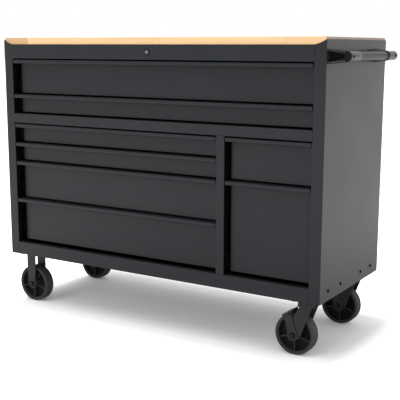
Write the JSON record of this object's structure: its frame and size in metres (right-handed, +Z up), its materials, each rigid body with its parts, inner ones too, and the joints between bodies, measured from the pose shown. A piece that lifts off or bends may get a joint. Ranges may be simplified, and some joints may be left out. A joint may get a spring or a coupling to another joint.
{
  "type": "rolling tool cabinet",
  "caption": "Wide rolling tool cabinet with a timber worktop, recessed drawers on telescopic slides, a key lock, a side push handle and swivel casters with brakes.",
  "frame": {"origin": "on the floor, in the middle of the whole object's box", "axes": "+X along the front from left to right, the front faces -Y, +Z up"},
  "size_m": [1.2231, 0.4554, 0.9107],
  "materials": {
    "front_paint": "dark grey fine-texture powder coat",
    "side_paint": "mid grey powder coat",
    "timber": "clear finished finger-jointed slab",
    "zinc": "bright zinc plate",
    "tube": "satin metal",
    "moulding": "black",
    "fork": "black paint on pressed steel",
    "wheel": "black moulding",
    "chrome": "bright plate"
  },
  "bodies": {
    "cabinet": {"left_side_panel": "side_paint", "right_side_panel": "side_paint", "top_deck": "front_paint", "mid_rail": "front_paint", "base_pan": "front_paint", "back_panel": "side_paint", "centre_divider": "front_paint", "worktop": "timber", "slide_rack_left": "zinc", "slide_rack_right": "zinc", "lock_housing": "chrome", "handle_bracket_front": "moulding", "handle_bracket_rear": "moulding", "handle_tube": "tube", "caster_left_front_fork": "fork", "caster_left_rear_fork": "fork", "caster_right_front_plate": "fork", "caster_right_rear_plate": "fork"},
    "lock": {"lock_core": "chrome"},
    "drawer_wide_1": {"drawer_wide_1_front": "front_paint", "drawer_wide_1_tray": "front_paint"},
    "drawer_wide_1_slides": {"drawer_wide_1_slide_l": "zinc", "drawer_wide_1_slide_r": "zinc"},
    "drawer_wide_2": {"drawer_wide_2_front": "front_paint", "drawer_wide_2_tray": "front_paint"},
    "drawer_wide_2_slides": {"drawer_wide_2_slide_l": "zinc", "drawer_wide_2_slide_r": "zinc"},
    "drawer_left_1": {"drawer_left_1_front": "front_paint", "drawer_left_1_tray": "front_paint"},
    "drawer_left_1_slides": {"drawer_left_1_slide_l": "zinc", "drawer_left_1_slide_r": "zinc"},
    "drawer_left_2": {"drawer_left_2_front": "front_paint", "drawer_left_2_tray": "front_paint"},
    "drawer_left_2_slides": {"drawer_left_2_slide_l": "zinc", "drawer_left_2_slide_r": "zinc"},
    "drawer_left_3": {"drawer_left_3_front": "front_paint", "drawer_left_3_tray": "front_paint"},
    "drawer_left_3_slides": {"drawer_left_3_slide_l": "zinc", "drawer_left_3_slide_r": "zinc"},
    "drawer_left_4": {"drawer_left_4_front": "front_paint", "drawer_left_4_tray": "front_paint"},
    "drawer_left_4_slides": {"drawer_left_4_slide_l": "zinc", "drawer_left_4_slide_r": "zinc"},
    "drawer_right_1": {"drawer_right_1_front": "front_paint", "drawer_right_1_tray": "front_paint"},
    "drawer_right_1_slides": {"drawer_right_1_slide_l": "zinc", "drawer_right_1_slide_r": "zinc"},
    "drawer_right_2": {"drawer_right_2_front": "front_paint", "drawer_right_2_tray": "front_paint"},
    "drawer_right_2_slides": {"drawer_right_2_slide_l": "zinc", "drawer_right_2_slide_r": "zinc"},
    "caster_left_front_wheel": {"caster_left_front_wheel": "wheel"},
    "caster_left_rear_wheel": {"caster_left_rear_wheel": "wheel"},
    "caster_right_front_fork": {"caster_right_front_fork": "fork"},
    "caster_right_front_wheel": {"caster_right_front_wheel": "wheel"},
    "caster_right_front_pedal": {"caster_right_front_pedal": "fork"},
    "caster_right_rear_fork": {"caster_right_rear_fork": "fork"},
    "caster_right_rear_wheel": {"caster_right_rear_wheel": "wheel"},
    "caster_right_rear_pedal": {"caster_right_rear_pedal": "fork"}
  },
  "joints": [
    {"name": "lock_turn", "type": "hinge", "parent": "cabinet", "child": "lock", "pos_m": [-0.0256, -0.22535, 0.867], "axis": [0, 1, 0], "range_deg": [0, 90]},
    {"name": "drawer_wide_1_open", "type": "slide", "parent": "cabinet", "child": "drawer_wide_1", "axis": [0, -1, 0], "range_m": [0, 0.39]},
    {"name": "drawer_wide_1_slides_extend", "type": "slide", "parent": "cabinet", "child": "drawer_wide_1_slides", "axis": [0, -1, 0], "range_m": [0, 0.195]},
    {"name": "drawer_wide_2_open", "type": "slide", "parent": "cabinet", "child": "drawer_wide_2", "axis": [0, -1, 0], "range_m": [0, 0.39]},
    {"name": "drawer_wide_2_slides_extend", "type": "slide", "parent": "cabinet", "child": "drawer_wide_2_slides", "axis": [0, -1, 0], "range_m": [0, 0.195]},
    {"name": "drawer_left_1_open", "type": "slide", "parent": "cabinet", "child": "drawer_left_1", "axis": [0, -1, 0], "range_m": [0, 0.39]},
    {"name": "drawer_left_1_slides_extend", "type": "slide", "parent": "cabinet", "child": "drawer_left_1_slides", "axis": [0, -1, 0], "range_m": [0, 0.195]},
    {"name": "drawer_left_2_open", "type": "slide", "parent": "cabinet", "child": "drawer_left_2", "axis": [0, -1, 0], "range_m": [0, 0.39]},
    {"name": "drawer_left_2_slides_extend", "type": "slide", "parent": "cabinet", "child": "drawer_left_2_slides", "axis": [0, -1, 0], "range_m": [0, 0.195]},
    {"name": "drawer_left_3_open", "type": "slide", "parent": "cabinet", "child": "drawer_left_3", "axis": [0, -1, 0], "range_m": [0, 0.39]},
    {"name": "drawer_left_3_slides_extend", "type": "slide", "parent": "cabinet", "child": "drawer_left_3_slides", "axis": [0, -1, 0], "range_m": [0, 0.195]},
    {"name": "drawer_left_4_open", "type": "slide", "parent": "cabinet", "child": "drawer_left_4", "axis": [0, -1, 0], "range_m": [0, 0.39]},
    {"name": "drawer_left_4_slides_extend", "type": "slide", "parent": "cabinet", "child": "drawer_left_4_slides", "axis": [0, -1, 0], "range_m": [0, 0.195]},
    {"name": "drawer_right_1_open", "type": "slide", "parent": "cabinet", "child": "drawer_right_1", "axis": [0, -1, 0], "range_m": [0, 0.39]},
    {"name": "drawer_right_1_slides_extend", "type": "slide", "parent": "cabinet", "child": "drawer_right_1_slides", "axis": [0, -1, 0], "range_m": [0, 0.195]},
    {"name": "drawer_right_2_open", "type": "slide", "parent": "cabinet", "child": "drawer_right_2", "axis": [0, -1, 0], "range_m": [0, 0.39]},
    {"name": "drawer_right_2_slides_extend", "type": "slide", "parent": "cabinet", "child": "drawer_right_2_slides", "axis": [0, -1, 0], "range_m": [0, 0.195]},
    {"name": "caster_left_front_roll", "type": "hinge", "parent": "cabinet", "child": "caster_left_front_wheel", "pos_m": [-0.5476, -0.17235, 0.06211], "axis": [0, 1, 0], "continuous": true},
    {"name": "caster_left_rear_roll", "type": "hinge", "parent": "cabinet", "child": "caster_left_rear_wheel", "pos_m": [-0.5476, 0.16365, 0.06211], "axis": [0, 1, 0], "continuous": true},
    {"name": "caster_right_front_swivel", "type": "hinge", "parent": "cabinet", "child": "caster_right_front_fork", "pos_m": [0.5044, -0.17235, 0.1687], "axis": [0, 0, 1], "continuous": true},
    {"name": "caster_right_front_roll", "type": "hinge", "parent": "caster_right_front_fork", "child": "caster_right_front_wheel", "pos_m": [0.4638, -0.17235, 0.06211], "axis": [0, 1, 0], "continuous": true},
    {"name": "caster_right_front_brake", "type": "hinge", "parent": "caster_right_front_fork", "child": "caster_right_front_pedal", "pos_m": [0.4638, -0.17235, 0.06211], "axis": [0, -1, 0], "range_deg": [0, 20]},
    {"name": "caster_right_rear_swivel", "type": "hinge", "parent": "cabinet", "child": "caster_right_rear_fork", "pos_m": [0.5044, 0.16365, 0.1687], "axis": [0, 0, 1], "continuous": true},
    {"name": "caster_right_rear_roll", "type": "hinge", "parent": "caster_right_rear_fork", "child": "caster_right_rear_wheel", "pos_m": [0.4638, 0.16365, 0.06211], "axis": [0, 1, 0], "continuous": true},
    {"name": "caster_right_rear_brake", "type": "hinge", "parent": "caster_right_rear_fork", "child": "caster_right_rear_pedal", "pos_m": [0.4638, 0.16365, 0.06211], "axis": [0, -1, 0], "range_deg": [0, 20]}
  ],
  "couplings": [
    {"joint": "drawer_wide_1_slides_extend", "follows": "drawer_wide_1_open", "ratio": 0.5},
    {"joint": "drawer_wide_2_slides_extend", "follows": "drawer_wide_2_open", "ratio": 0.5},
    {"joint": "drawer_left_1_slides_extend", "follows": "drawer_left_1_open", "ratio": 0.5},
    {"joint": "drawer_left_2_slides_extend", "follows": "drawer_left_2_open", "ratio": 0.5},
    {"joint": "drawer_left_3_slides_extend", "follows": "drawer_left_3_open", "ratio": 0.5},
    {"joint": "drawer_left_4_slides_extend", "follows": "drawer_left_4_open", "ratio": 0.5},
    {"joint": "drawer_right_1_slides_extend", "follows": "drawer_right_1_open", "ratio": 0.5},
    {"joint": "drawer_right_2_slides_extend", "follows": "drawer_right_2_open", "ratio": 0.5}
  ]
}
